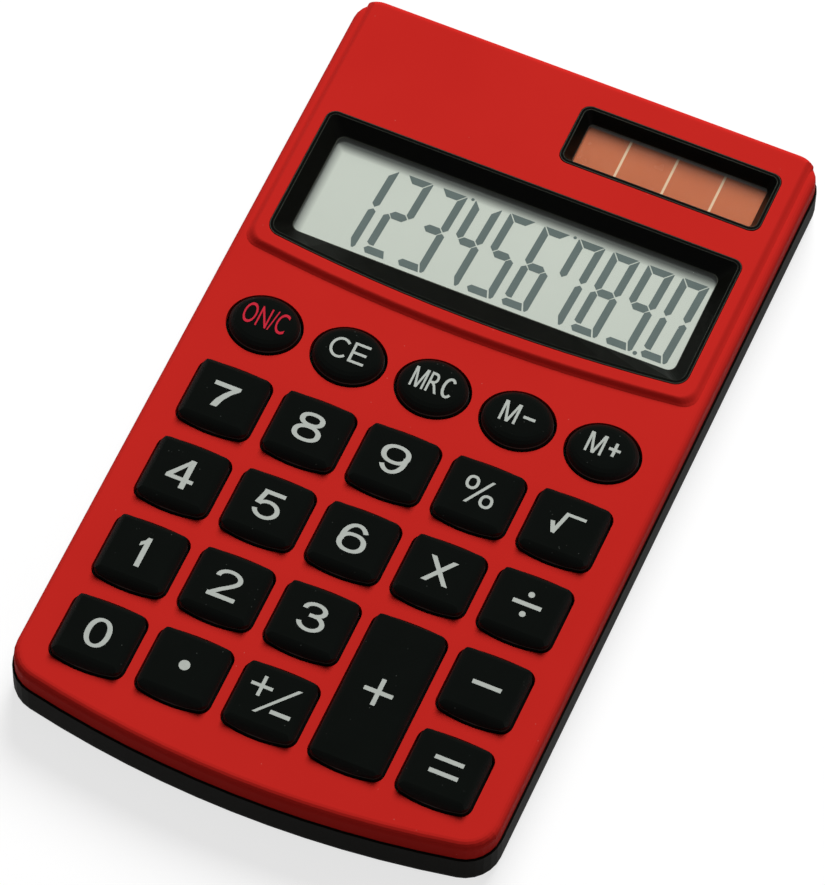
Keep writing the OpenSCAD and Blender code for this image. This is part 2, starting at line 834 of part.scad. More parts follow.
// The strip that presses on the cell's side
module battery_contact_side() {
    strip_y = bay_y - cell_d / 2 - touch - strip_t;
    color([0.8, 0.75, 0.55])
        translate([bay_x - strip_w / 2, 0, 0]) {
            translate([0, strip_y, cell_z + cell_step])
                cube([strip_w, strip_t, strip_z + strip_t - cell_z - cell_step]);
            translate([0, board_high - strip_lap, strip_z])
                cube([strip_w / 2, strip_y - board_high + strip_lap + strip_t, strip_t]);
        }
}

// Four pan-head screws with cross slots
module case_screws() {
    color([0.6, 0.6, 0.62])
        at_screws()
            difference() {
                union() {
                    post(screw_head_r, screw_seat - screw_head_h, screw_seat);
                    post(screw_r, screw_seat - screw_head_h, face_under - screw_tip);
                }
                for (turn = [0, 90])
                    rotate([0, 0, turn])
                        translate([-drive_l / 2, -drive_w / 2, 0])
                            cube([drive_l, drive_w, screw_seat - screw_head_h + drive_h]);
            }
}

front_cover();
back_cover();
battery_door();
display_bezel();
display_window();
lcd_front_glass();
lcd_rear_glass();
lcd_reflector();
lcd_connector();
solar_bezel();
solar_window();
solar_cell();
solar_leads();
keypad_mat();
circuit_board();
chip_cover();
capacitor();
resistors();
regulator_diode();
battery();
battery_contact_top();
battery_contact_side();
case_screws();
for (k = KEYS)
    key(k);
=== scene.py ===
import math

import bpy
from mathutils import Matrix, Vector


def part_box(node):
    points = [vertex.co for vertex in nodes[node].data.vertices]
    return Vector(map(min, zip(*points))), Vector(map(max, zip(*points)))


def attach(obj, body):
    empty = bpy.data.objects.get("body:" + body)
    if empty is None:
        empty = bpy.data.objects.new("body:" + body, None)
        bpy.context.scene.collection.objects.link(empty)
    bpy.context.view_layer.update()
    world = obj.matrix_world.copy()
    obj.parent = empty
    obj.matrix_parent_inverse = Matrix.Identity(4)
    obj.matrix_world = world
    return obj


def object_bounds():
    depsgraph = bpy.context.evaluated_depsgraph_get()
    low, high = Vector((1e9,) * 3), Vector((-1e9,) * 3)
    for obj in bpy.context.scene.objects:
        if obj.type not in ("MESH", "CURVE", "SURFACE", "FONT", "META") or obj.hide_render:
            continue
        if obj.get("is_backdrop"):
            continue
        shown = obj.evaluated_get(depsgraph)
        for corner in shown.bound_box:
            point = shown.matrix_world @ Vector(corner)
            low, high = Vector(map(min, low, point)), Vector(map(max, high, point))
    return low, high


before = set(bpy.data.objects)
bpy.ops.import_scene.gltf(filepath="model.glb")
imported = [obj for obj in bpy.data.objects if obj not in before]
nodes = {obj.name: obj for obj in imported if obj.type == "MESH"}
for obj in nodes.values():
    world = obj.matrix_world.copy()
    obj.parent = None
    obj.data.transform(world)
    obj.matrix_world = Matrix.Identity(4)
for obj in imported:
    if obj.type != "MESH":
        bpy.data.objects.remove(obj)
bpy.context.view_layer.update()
MM = 0.001


# Colours and nodes

# A colour mix's inputs and output, by their places among its sockets
FACTOR = 0
COLOUR_A = 6
COLOUR_B = 7
MIXED = 2


def srgb(code):
    """A hex colour as Blender's linear one."""
    parts = [int(code[i:i + 2], 16) / 255 for i in (1, 3, 5)]
    return tuple(p / 12.92 if p <= 0.04045 else ((p + 0.055) / 1.055) ** 2.4 for p in parts) + (1.0,)


def feed(owner, socket, value):
    """Links a socket to another one, or sets its value."""
    if isinstance(value, bpy.types.NodeSocket):
        owner.node_tree.links.new(value, socket)
    else:
        socket.default_value = value


def add(owner, kind, inputs=None, **settings):
    """A node with its settings; an input is a value, or a socket to link."""
    node = owner.node_tree.nodes.new(kind)
    for name, value in settings.items():
        setattr(node, name, value)
    for key, value in (inputs or {}).items():
        feed(owner, node.inputs[key], value)
    return node


def begin(name):
    """An empty material, its shader and its Object coordinates."""
    mat = bpy.data.materials.new(name)
    mat.use_nodes = True
    mat.node_tree.nodes.clear()
    shader = add(mat, "ShaderNodeBsdfPrincipled")
    add(mat, "ShaderNodeOutputMaterial", {"Surface": shader.outputs[0]})
    place = add(mat, "ShaderNodeTexCoord").outputs["Object"]
    return mat, shader, place


def wire(mat, shader, **sockets):
    """Links or sets the shader's sockets by name, with _ for a space."""
    for name, value in sockets.items():
        feed(mat, shader.inputs[name.replace("_", " ")], value)


def per_mm(size):
    """A texture scale whose pattern is that many millimetres across."""
    return 1 / (size * MM)


# Materials

# Widths of the bezels' walls as seen from above, and of the lip round both that the cover hides
DISPLAY_SIDE_WALL = 2.6 * MM
DISPLAY_FAR_WALL = 2.4 * MM
SOLAR_FAR_WALL = 1.6 * MM
BEZEL_LIP = 0.5 * MM
# From one line of the solar cell to the next
CELL_PITCH = 7.1 * MM
# Height of the pale line round the keys, just above the face, in millimetres
KEY_FOOT = 9.55


def moulded_red_abs():
    # Satin ABS from a lightly sparked mould: an even deep red with hardly any gloss, a faint cloudiness in
    # the colour, a fine orange peel and a little settled dust.
    mat, shader, place = begin("moulded_red_abs")
    cloud = add(mat, "ShaderNodeTexNoise", {"Vector": place, "Scale": per_mm(22), "Detail": 3.0})
    tint = add(mat, "ShaderNodeMix", {FACTOR: cloud.outputs["Fac"], COLOUR_A: srgb("#c62923"),
                                      COLOUR_B: srgb("#bd241f")}, data_type="RGBA")
    dust = add(mat, "ShaderNodeTexVoronoi", {"Vector": place, "Scale": per_mm(2.6)})
    speck = add(mat, "ShaderNodeMapRange", {"Value": dust.outputs["Distance"], "From Min": 0.02,
                                            "From Max": 0.035, "To Min": 0.35, "To Max": 0.0})
    dusty = add(mat, "ShaderNodeMix", {FACTOR: speck.outputs[0], COLOUR_A: tint.outputs[MIXED],
                                       COLOUR_B: srgb("#d98a80")}, data_type="RGBA")
    peel = add(mat, "ShaderNodeTexNoise", {"Vector": place, "Scale": per_mm(0.35), "Detail": 2.0})
    gloss = add(mat, "ShaderNodeMapRange", {"Value": cloud.outputs["Fac"], "To Min": 0.48, "To Max": 0.58})
    bump = add(mat, "ShaderNodeBump", {"Height": peel.outputs["Fac"], "Strength": 0.12,
                                       "Distance": 0.02 * MM})
    wire(mat, shader, Base_Color=dusty.outputs[MIXED], Roughness=gloss.outputs[0], Normal=bump.outputs[0],
         IOR=1.53, Specular_IOR_Level=0.012)
    return mat


def sparked_black_abs():
    # Black ABS from a spark-eroded mould: a fine dry grain with hardly any gloss. The grain is drawn at
    # 0.3 mm, coarser than the real 0.1 mm, so that it shows.
    mat, shader, place = begin("sparked_black_abs")
    grain = add(mat, "ShaderNodeTexNoise", {"Vector": place, "Scale": per_mm(0.3), "Detail": 3.0})
    cloud = add(mat, "ShaderNodeTexNoise", {"Vector": place, "Scale": per_mm(15), "Detail": 2.0})
    tint = add(mat, "ShaderNodeMix", {FACTOR: cloud.outputs["Fac"], COLOUR_A: srgb("#100f0c"),
                                      COLOUR_B: srgb("#171512")}, data_type="RGBA")
    gloss = add(mat, "ShaderNodeMapRange", {"Value": grain.outputs["Fac"], "To Min": 0.45, "To Max": 0.62})
    bump = add(mat, "ShaderNodeBump", {"Height": grain.outputs["Fac"], "Strength": 0.3,
                                       "Distance": 0.03 * MM})
    wire(mat, shader, Base_Color=tint.outputs[MIXED], Roughness=gloss.outputs[0], Normal=bump.outputs[0],
         IOR=1.53, Specular_IOR_Level=0.015)
    return mat


def glossy_black_abs():
    # Black ABS from a polished mould: deep and smooth, with faint smears in its low gloss, and rims painted
    # pale, as wear and as a painted highlight.
    mat, shader, place = begin("glossy_black_abs")
    smear = add(mat, "ShaderNodeTexNoise", {"Vector": place, "Scale": per_mm(6), "Detail": 4.0,
                                            "Distortion": 0.6})
    tint = add(mat, "ShaderNodeMix", {FACTOR: smear.outputs["Fac"], COLOUR_A: srgb("#060705"),
                                      COLOUR_B: srgb("#0b0b08")}, data_type="RGBA")
    gloss = add(mat, "ShaderNodeMapRange", {"Value": smear.outputs["Fac"], "To Min": 0.28, "To Max": 0.42})
    # Painted highlight and wear: the edges, found by the bevel, are painted a pale grey.
    softened = add(mat, "ShaderNodeBevel", {"Radius": 0.2 * MM}, samples=8)
    flat = add(mat, "ShaderNodeNewGeometry")
    turn = add(mat, "ShaderNodeVectorMath", {0: softened.outputs[0], 1: flat.outputs["Normal"]},
               operation="DOT_PRODUCT")
    rim = add(mat, "ShaderNodeMapRange", {"Value": turn.outputs["Value"], "From Min": 0.95, "From Max": 0.99,
                                          "To Min": 1.0, "To Max": 0.0})
    worn_and_highlit = add(mat, "ShaderNodeMix", {FACTOR: rim.outputs[0], COLOUR_A: tint.outputs[MIXED],
                                        COLOUR_B: srgb("#484b44")}, data_type="RGBA")
    wire(mat, shader, Base_Color=worn_and_highlit.outputs[MIXED], Roughness=gloss.outputs[0], IOR=1.53,
         Specular_IOR_Level=0.1)
    return mat


def matte_silicone(name, dark, light, lint, foot=0.0):
    # Moulded silicone rubber: almost black and matte, with a soft sheen on its round edges; it holds
    # lint, which shows as pale specks, and it has a thin pale line at the height of its foot, in millimetres.
    # A foot at zero lies below the piece and leaves no line.
    mat, shader, place = begin(name)
    cloud = add(mat, "ShaderNodeTexNoise", {"Vector": place, "Scale": per_mm(4), "Detail": 4.0})
    tint = add(mat, "ShaderNodeMix", {FACTOR: cloud.outputs["Fac"], COLOUR_A: srgb(dark),
                                      COLOUR_B: srgb(light)}, data_type="RGBA")
    flecks = add(mat, "ShaderNodeTexVoronoi", {"Vector": place, "Scale": per_mm(0.9)})
    fleck = add(mat, "ShaderNodeMapRange", {"Value": flecks.outputs["Distance"], "From Min": 0.05,
                                            "From Max": 0.11, "To Min": lint, "To Max": 0.0})
    few = add(mat, "ShaderNodeTexNoise", {"Vector": place, "Scale": per_mm(1.7), "Detail": 1.0})
    some = add(mat, "ShaderNodeMapRange", {"Value": few.outputs["Fac"], "From Min": 0.56, "From Max": 0.64})
    kept = add(mat, "ShaderNodeMath", {0: fleck.outputs[0], 1: some.outputs[0]}, operation="MULTIPLY")
    dusty = add(mat, "ShaderNodeMix", {FACTOR: kept.outputs[0], COLOUR_A: tint.outputs[MIXED],
                                       COLOUR_B: srgb("#777b76")}, data_type="RGBA")
    height = add(mat, "ShaderNodeSeparateXYZ", {0: place})
    away = add(mat, "ShaderNodeMath", {0: height.outputs["Z"], 1: foot * MM}, operation="SUBTRACT")
    gap = add(mat, "ShaderNodeMath", {0: away.outputs[0]}, operation="ABSOLUTE")
    line = add(mat, "ShaderNodeMapRange", {"Value": gap.outputs[0], "From Min": 0.06 * MM,
                                           "From Max": 0.13 * MM, "To Min": 0.4, "To Max": 0.0})
    footed = add(mat, "ShaderNodeMix", {FACTOR: line.outputs[0], COLOUR_A: dusty.outputs[MIXED],
                                        COLOUR_B: srgb("#777b76")}, data_type="RGBA")
    grain = add(mat, "ShaderNodeTexNoise", {"Vector": place, "Scale": per_mm(0.22), "Detail": 2.0})
    gloss = add(mat, "ShaderNodeMapRange", {"Value": cloud.outputs["Fac"], "To Min": 0.52, "To Max": 0.66})
    bump = add(mat, "ShaderNodeBump", {"Height": grain.outputs["Fac"], "Strength": 0.18,
                                       "Distance": 0.02 * MM})
    wire(mat, shader, Base_Color=footed.outputs[MIXED], Roughness=gloss.outputs[0], Normal=bump.outputs[0],
         IOR=1.43, Specular_IOR_Level=0.2, Sheen_Weight=0.02, Sheen_Roughness=0.5)
    return mat


def printed_ink(name, plain, worn):
    # Pad-printed ink: flat and matte, a little thin where the print was light.
    mat, shader, place = begin(name)
    coat = add(mat, "ShaderNodeTexNoise", {"Vector": place, "Scale": per_mm(0.8), "Detail": 3.0})
    tint = add(mat, "ShaderNodeMix", {FACTOR: coat.outputs["Fac"], COLOUR_A: srgb(plain),
                                      COLOUR_B: srgb(worn)}, data_type="RGBA")
    gloss = add(mat, "ShaderNodeMapRange", {"Value": coat.outputs["Fac"], "To Min": 0.45, "To Max": 0.6})
    wire(mat, shader, Base_Color=tint.outputs[MIXED], Roughness=gloss.outputs[0])
    return mat


def clear_acrylic():
    # Clear acrylic plate: see-through, with a thin reflection and faint specks of dust.
    mat, shader, place = begin("clear_acrylic")
    dust = add(mat, "ShaderNodeTexVoronoi", {"Vector": place, "Scale": per_mm(1.5)})
    veil = add(mat, "ShaderNodeMapRange", {"Value": dust.outputs["Distance"], "From Min": 0.02,
                                           "From Max": 0.05, "To Min": 0.12, "To Max": 0.02})
    wire(mat, shader, Base_Color=srgb("#e9efe9"), Roughness=0.06, IOR=1.49, Alpha=veil.outputs[0])
    return mat


def display_film():
    # Liquid-crystal glass over a reflective film: a pale grey-green, silky, slightly uneven, with painted
    # shade along the far and left walls of the bezel, darkest next to them and fading out over 1.4 mm.
    mat, shader, place = begin("display_film")
    low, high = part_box("display_bezel")
    left = low.x + BEZEL_LIP + DISPLAY_SIDE_WALL
    far = high.y - BEZEL_LIP - DISPLAY_FAR_WALL
    silk = add(mat, "ShaderNodeTexNoise", {"Vector": place, "Scale": per_mm(18), "Detail": 2.0})
    tint = add(mat, "ShaderNodeMix", {FACTOR: silk.outputs["Fac"], COLOUR_A: srgb("#ccd3c8"),
                                      COLOUR_B: srgb("#c3cbc0")}, data_type="RGBA")
    split = add(mat, "ShaderNodeSeparateXYZ", {0: place})
    # Painted shade: the glass is darkened towards the bezel's far and left walls, where their shade falls.
    far_shade = add(mat, "ShaderNodeMapRange", {"Value": split.outputs["Y"], "From Min": far - 2.2 * MM,
                                               "From Max": far - 0.8 * MM, "To Min": 0.0, "To Max": 0.88})
    left_shade = add(mat, "ShaderNodeMapRange", {"Value": split.outputs["X"], "From Min": left,
                                                "From Max": left + 1.4 * MM, "To Min": 0.8, "To Max": 0.0})
    edge_band = add(mat, "ShaderNodeMath", {0: far_shade.outputs[0], 1: left_shade.outputs[0]}, operation="MAXIMUM")
    banded = add(mat, "ShaderNodeMix", {FACTOR: edge_band.outputs[0], COLOUR_A: tint.outputs[MIXED],
                                        COLOUR_B: srgb("#3a403e")}, data_type="RGBA")
    fine = add(mat, "ShaderNodeTexNoise", {"Vector": place, "Scale": per_mm(0.25), "Detail": 1.0})
    gloss = add(mat, "ShaderNodeMapRange", {"Value": fine.outputs["Fac"], "To Min": 0.3, "To Max": 0.42})
    wire(mat, shader, Base_Color=banded.outputs[MIXED], Roughness=gloss.outputs[0], IOR=1.5)
    return mat


def liquid_crystal():
    # A switched segment: a soft, slightly uneven blue-grey.
    mat, shader, place = begin("liquid_crystal")
    soft = add(mat, "ShaderNodeTexNoise", {"Vector": place, "Scale": per_mm(3), "Detail": 2.0})
    tint = add(mat, "ShaderNodeMix", {FACTOR: soft.outputs["Fac"], COLOUR_A: srgb("#53625f"),
                                      COLOUR_B: srgb("#5e6d6a")}, data_type="RGBA")
    wire(mat, shader, Base_Color=tint.outputs[MIXED], Roughness=0.4)
    return mat


def silicon_film():
    # Amorphous silicon on glass: copper brown under a gloss, in four cells parted by cream lines, with a
    # pale grey band along the bezel's far wall.
    mat, shader, place = begin("silicon_film")
    low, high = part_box("solar_bezel")
    middle = (low.x + high.x) / 2
    far = high.y - BEZEL_LIP - SOLAR_FAR_WALL
    split = add(mat, "ShaderNodeSeparateXYZ", {0: place})
    moved = add(mat, "ShaderNodeMath", {0: split.outputs["X"], 1: middle}, operation="SUBTRACT")
    cells = add(mat, "ShaderNodeMath", {0: moved.outputs[0], 1: CELL_PITCH / 2}, operation="PINGPONG")
    near = add(mat, "ShaderNodeMapRange", {"Value": cells.outputs[0], "From Min": 0.14 * MM,
                                           "From Max": 0.21 * MM, "To Min": 1.0, "To Max": 0.0})
    haze = add(mat, "ShaderNodeTexNoise", {"Vector": place, "Scale": per_mm(5), "Detail": 3.0})
    film = add(mat, "ShaderNodeMix", {FACTOR: haze.outputs["Fac"], COLOUR_A: srgb("#c4683a"),
                                      COLOUR_B: srgb("#b75d33")}, data_type="RGBA")
    lined = add(mat, "ShaderNodeMix", {FACTOR: near.outputs[0], COLOUR_A: film.outputs[MIXED],
                                       COLOUR_B: srgb("#e0c3a0")}, data_type="RGBA")
    # A pale grey band, 0.3 mm wide, along the bezel's far wall only.
    edge_band = add(mat, "ShaderNodeMapRange", {"Value": split.outputs["Y"], "From Min": far - 0.3 * MM,
                                           "From Max": far, "To Min": 0.0, "To Max": 0.9})
    banded = add(mat, "ShaderNodeMix", {FACTOR: edge_band.outputs[0], COLOUR_A: lined.outputs[MIXED],
                                        COLOUR_B: srgb("#9a9c98")}, data_type="RGBA")
    gloss = add(mat, "ShaderNodeMapRange", {"Value": haze.outputs["Fac"], "To Min": 0.2, "To Max": 0.32})
    wire(mat, shader, Base_Color=banded.outputs[MIXED], Roughness=gloss.outputs[0], IOR=1.5)
    return mat


def reflector_foil():
    # Satin aluminium foil with a fine rolled grain along X.
    mat, shader, place = begin("reflector_foil")
    long = add(mat, "ShaderNodeMapping", {"Vector": place, "Scale": (0.05, 1.0, 1.0)})
    rolled = add(mat, "ShaderNodeTexNoise", {"Vector": long.outputs[0], "Scale": per_mm(0.3), "Detail": 2.0})
    gloss = add(mat, "ShaderNodeMapRange", {"Value": rolled.outputs["Fac"], "To Min": 0.3, "To Max": 0.45})
    wire(mat, shader, Base_Color=srgb("#c9cec9"), Metallic=1.0, Roughness=gloss.outputs[0])
    return mat


def striped_elastomer():
    # Conductive elastomer: black and grey layers, drawn 3.1 mm apart so that they show. The wave texture
    # turns through 20 radians in a unit, so 0.5 mm is one radian of the wave.
    mat, shader, place = begin("striped_elastomer")
    bands = add(mat, "ShaderNodeTexWave", {"Vector": place, "Scale": per_mm(0.5) / 20, "Distortion": 0.2},
                wave_type="BANDS", bands_direction="X")
    tint = add(mat, "ShaderNodeMix", {FACTOR: bands.outputs["Fac"], COLOUR_A: srgb("#2a2c30"),
                                      COLOUR_B: srgb("#8d9296")}, data_type="RGBA")
    wire(mat, shader, Base_Color=tint.outputs[MIXED], Roughness=0.7)
    return mat


def lacquered_laminate():
    # Glass-fibre board under green lacquer, with the tracks standing out as paler lines round fields of
    # 2.2 x 1.1 mm. The brick texture's bricks are half a unit wide.
    mat, shader, place = begin("lacquered_laminate")
    tracks = add(mat, "ShaderNodeTexBrick", {"Vector": place, "Color1": srgb("#1f6a41"),
                                             "Color2": srgb("#1b5f3a"), "Mortar": srgb("#3f8a58"),
                                             "Scale": per_mm(2.2) / 2, "Mortar Size": 0.04})
    weave = add(mat, "ShaderNodeTexNoise", {"Vector": place, "Scale": per_mm(0.5), "Detail": 1.0})
    gloss = add(mat, "ShaderNodeMapRange", {"Value": weave.outputs["Fac"], "To Min": 0.25, "To Max": 0.4})
    wire(mat, shader, Base_Color=tracks.outputs["Color"], Roughness=gloss.outputs[0])
    return mat


def cast_lacquer(name, plain, deep, rough):
    # Lacquer or cast resin: smooth, with a slow drift in its colour.
    mat, shader, place = begin(name)
    drift = add(mat, "ShaderNodeTexNoise", {"Vector": place, "Scale": per_mm(2.5), "Detail": 3.0})
    tint = add(mat, "ShaderNodeMix", {FACTOR: drift.outputs["Fac"], COLOUR_A: srgb(plain),
                                      COLOUR_B: srgb(deep)}, data_type="RGBA")
    gloss = add(mat, "ShaderNodeMapRange", {"Value": drift.outputs["Fac"], "To Min": rough,
                                            "To Max": rough + 0.12})
    wire(mat, shader, Base_Color=tint.outputs[MIXED], Roughness=gloss.outputs[0], IOR=1.55)
    return mat


def plated_metal(name, plain, dull, rough):
    # Plated sheet or wire: bright, with fine marks from forming.
    mat, shader, place = begin(name)
    marks = add(mat, "ShaderNodeTexNoise", {"Vector": place, "Scale": per_mm(0.4), "Detail": 4.0})
    tint = add(mat, "ShaderNodeMix", {FACTOR: marks.outputs["Fac"], COLOUR_A: srgb(plain),
                                      COLOUR_B: srgb(dull)}, data_type="RGBA")
    gloss = add(mat, "ShaderNodeMapRange", {"Value": marks.outputs["Fac"], "To Min": rough,
                                            "To Max": rough + 0.15})
    wire(mat, shader, Base_Color=tint.outputs[MIXED], Metallic=1.0, Roughness=gloss.outputs[0])
    return mat


red_abs = moulded_red_abs()
black_abs = sparked_black_abs()
gloss_abs = glossy_black_abs()
key_silicone = matte_silicone("matte_key_silicone", "#060907", "#0a0e0b", lint=0.24, foot=KEY_FOOT)
mat_silicone = matte_silicone("matte_mat_silicone", "#242422", "#2c2c29", lint=0.2)
grey_ink = printed_ink("grey_printed_ink", "#bcc1bb", "#aeb4ad")
crimson_ink = printed_ink("crimson_printed_ink", "#d0283c", "#bb2034")
acrylic = clear_acrylic()
film_glass = display_film()
crystal = liquid_crystal()
steel = plated_metal("nickelled_steel", "#c9cbcd", "#aeb0b3", rough=0.22)

FINISHES = {
    "front_cover": red_abs,
    "back_cover": black_abs,
    "battery_door": black_abs,
    "display_bezel": gloss_abs,
    "solar_bezel": gloss_abs,
    "display_window": acrylic,
    "solar_window": acrylic,
    "lcd_front_glass": film_glass,
    "lcd_rear_glass": film_glass,
    "lcd_reflector": reflector_foil(),
    "lcd_connector": striped_elastomer(),
    "solar_cell": silicon_film(),
    "solar_leads": cast_lacquer("red_wire_sleeve", "#a3211d", "#8c1815", rough=0.45),
    "keypad_mat": mat_silicone,
    "circuit_board": lacquered_laminate(),
    "chip_cover": cast_lacquer("black_cast_resin", "#100f0f", "#191717", rough=0.2),
    "capacitor": cast_lacquer("blue_can_sleeve", "#2b3a78", "#22306a", rough=0.3),
    "resistors": cast_lacquer("tan_resistor_lacquer", "#c7a77c", "#b4936a", rough=0.35),
    "regulator_diode": cast_lacquer("amber_diode_glass", "#c0672f", "#a65525", rough=0.15),
    "battery": steel,
    "battery_contact_top": plated_metal("sprung_brass", "#d3b06a", "#b8954f", rough=0.25),
    "battery_contact_side": plated_metal("sprung_brass_side", "#d3b06a", "#b8954f", rough=0.25),
    "case_screws": plated_metal("zinc_plated_screw", "#b3b4b6", "#8f9194", rough=0.3),
}
for name, obj in nodes.items():
    finish = key_silicone if name.startswith("key_") else FINISHES[name]
    obj.data.materials.clear()
    obj.data.materials.append(finish)


# Shaping: outlines are in millimetres, heights in metres

# How square a ring is: 2 is an oval
SQUARE = 2.2
RING_SIDES = 40
DISC_SIDES = 32
# Share of a disc's height that its rim is cut back by
DISC_RIM = 0.1
LETTER_CURVE_STEPS = 6


def clear_selection():
    """Leaves no object selected, so that the next call works on its own piece alone."""
    bpy.ops.object.select_all(action="DESELECT")


def take_mesh(obj):
    """The finished mesh of a shaping object, which is then removed."""
    mesh = obj.data
    bpy.data.objects.remove(obj)
    return mesh


def thicken(height):
    """Extrudes the sheet that is in edit mode upwards and turns all its faces outwards."""
    bpy.ops.mesh.select_all(action="SELECT")
    bpy.ops.mesh.extrude_region_move(TRANSFORM_OT_translate={"value": (0, 0, height)})
    bpy.ops.mesh.select_all(action="SELECT")
    bpy.ops.mesh.normals_make_consistent(inside=False)
    bpy.ops.object.mode_set(mode="OBJECT")


def plate(points, height):
    """A flat plate of that outline, half its height above zero."""
    clear_selection()
    bpy.ops.mesh.primitive_circle_add(vertices=len(points), fill_type="NGON")
    sheet = bpy.context.object
    for vertex, (x, y) in zip(sheet.data.vertices, points):
        vertex.co = (x * MM, y * MM, -height / 2)
    bpy.ops.object.mode_set(mode="EDIT")
    thicken(height)
    return take_mesh(sheet)


def disc(radius, height):
    """A flat round dot, its rim softened."""
    clear_selection()
    bpy.ops.mesh.primitive_cylinder_add(vertices=DISC_SIDES, radius=radius * MM, depth=height)
    dot = bpy.context.object
    bpy.ops.object.mode_set(mode="EDIT")
    bpy.ops.mesh.select_all(action="SELECT")
    bpy.ops.mesh.bevel(offset=height * DISC_RIM, segments=1, affect="EDGES")
    bpy.ops.object.mode_set(mode="OBJECT")
    return take_mesh(dot)


def ring(wide, tall, thick, height, stretch=1.0):
    """A flat oval ring, half its height above zero; the stretch widens its upright runs."""
    clear_selection()
    half = 0.5 * MM
    bpy.ops.mesh.primitive_circle_add(vertices=RING_SIDES, radius=half, fill_type="NGON")
    hoop = bpy.context.object
    for vertex in hoop.data.vertices:
        across = abs(vertex.co.x / half)
        up = abs(vertex.co.y / half)
        vertex.co /= (across ** SQUARE + up ** SQUARE) ** (1 / SQUARE)
    sized = Matrix.Diagonal((wide / stretch, tall, 1, 1))
    hoop.data.transform(Matrix.Translation((0, 0, -height / 2)) @ sized)
    bpy.ops.object.mode_set(mode="EDIT")
    bpy.ops.mesh.select_all(action="SELECT")
    bpy.ops.mesh.inset(thickness=thick * MM)
    bpy.ops.mesh.delete(type="FACE")
    thicken(height)
    hoop.data.transform(Matrix.Diagonal((stretch, 1, 1, 1)))
    return take_mesh(hoop)


def letters(words, wide, tall, height):
    """Words as a flat mesh, centred, scaled to be that wide and tall."""
    clear_selection()
    bpy.ops.object.text_add()
    text = bpy.context.object
    text.data.body = words
    text.data.size = 1
    text.data.extrude = 0.5
    text.data.resolution_u = LETTER_CURVE_STEPS
    bpy.ops.object.convert(target="MESH")
    mesh = take_mesh(bpy.context.object)
    across = [vertex.co.x for vertex in mesh.vertices]
    up = [vertex.co.y for vertex in mesh.vertices]
    centre = Vector(((min(across) + max(across)) / 2, (min(up) + max(up)) / 2, 0))
    mesh.transform(Matrix.Translation(-centre))
    widen = wide * MM / (max(across) - min(across))
    heighten = tall * MM / (max(up) - min(up))
    mesh.transform(Matrix.Diagonal((widen, heighten, height, 1)))
    return mesh


def gather(name, meshes, material, body):
    """Joins placed meshes into one piece that rides on a body."""
    clear_selection()
    made = []
    for mesh in meshes:
        obj = bpy.data.objects.new(name, mesh)
        bpy.context.collection.objects.link(obj)
        obj.select_set(True)
        made.append(obj)
    bpy.context.view_layer.objects.active = made[0]
    if len(made) > 1:
        bpy.ops.object.join()
    piece = bpy.context.view_layer.objects.active
    piece.name = name
    piece.data.name = name
    piece.data.materials.clear()
    piece.data.materials.append(material)
    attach(piece, body)


# Key legends: each is a thin print, sunk into the key's crown so that it has no gap under it

# How thick a print is, and how far its face stands above the crown
PRINT = 0.08 * MM
PROUD = 0.004 * MM
# The strokes of one legend overlap, so each lies this much above the last
LAYER = 0.003 * MM
# How far a legend sits above the middle of its key's face
ABOVE_MIDDLE = 0.2 * MM
# Weights of the strokes of figures, letters and signs
WEIGHT = 0.52
LETTER = 0.4
BAR = 0.64
# How much wider a figure's upright strokes are than its level ones, in open strokes and in bowls
STRETCH = 1.35
BOWL_STRETCH = 1.45
ARC_STEPS = 24
# Half the opening of a C, in degrees
OPENING = 42
# Outlines in millimetres; the M's are shares of its width and height
ONE = [(0.66, 2.37), (0.08, 2.37), (-0.16, 1.83), (-0.66, 1.42), (-0.66, 0.76), (-0.33, 1.0), (-0.08, 1.25),
       (-0.08, -2.37), (0.66, -2.37)]
SEVEN = [(-2.02, 1.81), (-2.02, 1.13), (0.66, 1.13), (-0.17, 0.22), (-0.87, -0.93), (-1.24, -2.14),
         (-0.29, -2.14), (0.18, -0.72), (0.9, 0.41), (1.81, 1.3), (1.81, 1.81)]
FOUR = [(0.42, 2.26), (1.05, 2.26), (-1.3, -0.9), (-2.1, -0.9), (-2.1, -0.8)]
LETTER_M = [(-0.5, -0.5), (-0.5, 0.5), (-0.29, 0.5), (0.0, -0.3), (0.29, 0.5), (0.5, 0.5), (0.5, -0.5),
            (0.35, -0.5), (0.35, 0.26), (0.09, -0.5), (-0.09, -0.5), (-0.35, 0.26), (-0.35, -0.5)]
PERCENT = [(-1.55, -2.04), (-1.08, -2.04), (1.55, 2.2), (1.08, 2.2)]
TIMES = [(-2.0, 2.1), (-1.2, 2.1), (1.94, -1.95), (1.14, -1.95)]
SLASH = [(-1.62, -2.6), (-1.1, -2.6), (3.5, 2.6), (2.9, 2.6)]


def placed(mesh, x, y):
    """A mesh moved, in millimetres."""
    mesh.transform(Matrix.Translation((x * MM, y * MM, 0)))
    return mesh


def bar(wide, tall=BAR, x=0.0, y=0.0):
    """A printed bar that wide and tall."""
    side = wide / 2
    top = tall / 2
    return placed(plate([(-side, -top), (side, -top), (side, top), (-side, top)], PRINT), x, y)


def cross(wide, tall, thick, x=0.0, y=0.0):
    """A printed plus sign, in one outline."""
    side = wide / 2
    top = tall / 2
    half = thick / 2
    outline = [(-side, -half), (-half, -half), (-half, -top), (half, -top), (half, -half), (side, -half),
               (side, half), (half, half), (half, top), (-half, top), (-half, half), (-side, half)]
    return placed(plate(outline, PRINT), x, y)


def word(words, wide, tall, x=0.0, y=0.0):
    """Printed letters that wide and tall."""
    return placed(letters(words, wide, tall, PRINT), x, y)


def loop(wide, tall, x, y, stretch=BOWL_STRETCH):
    """The closed bowl of a figure."""
    return placed(ring(wide, tall, WEIGHT, PRINT, stretch), x, y)


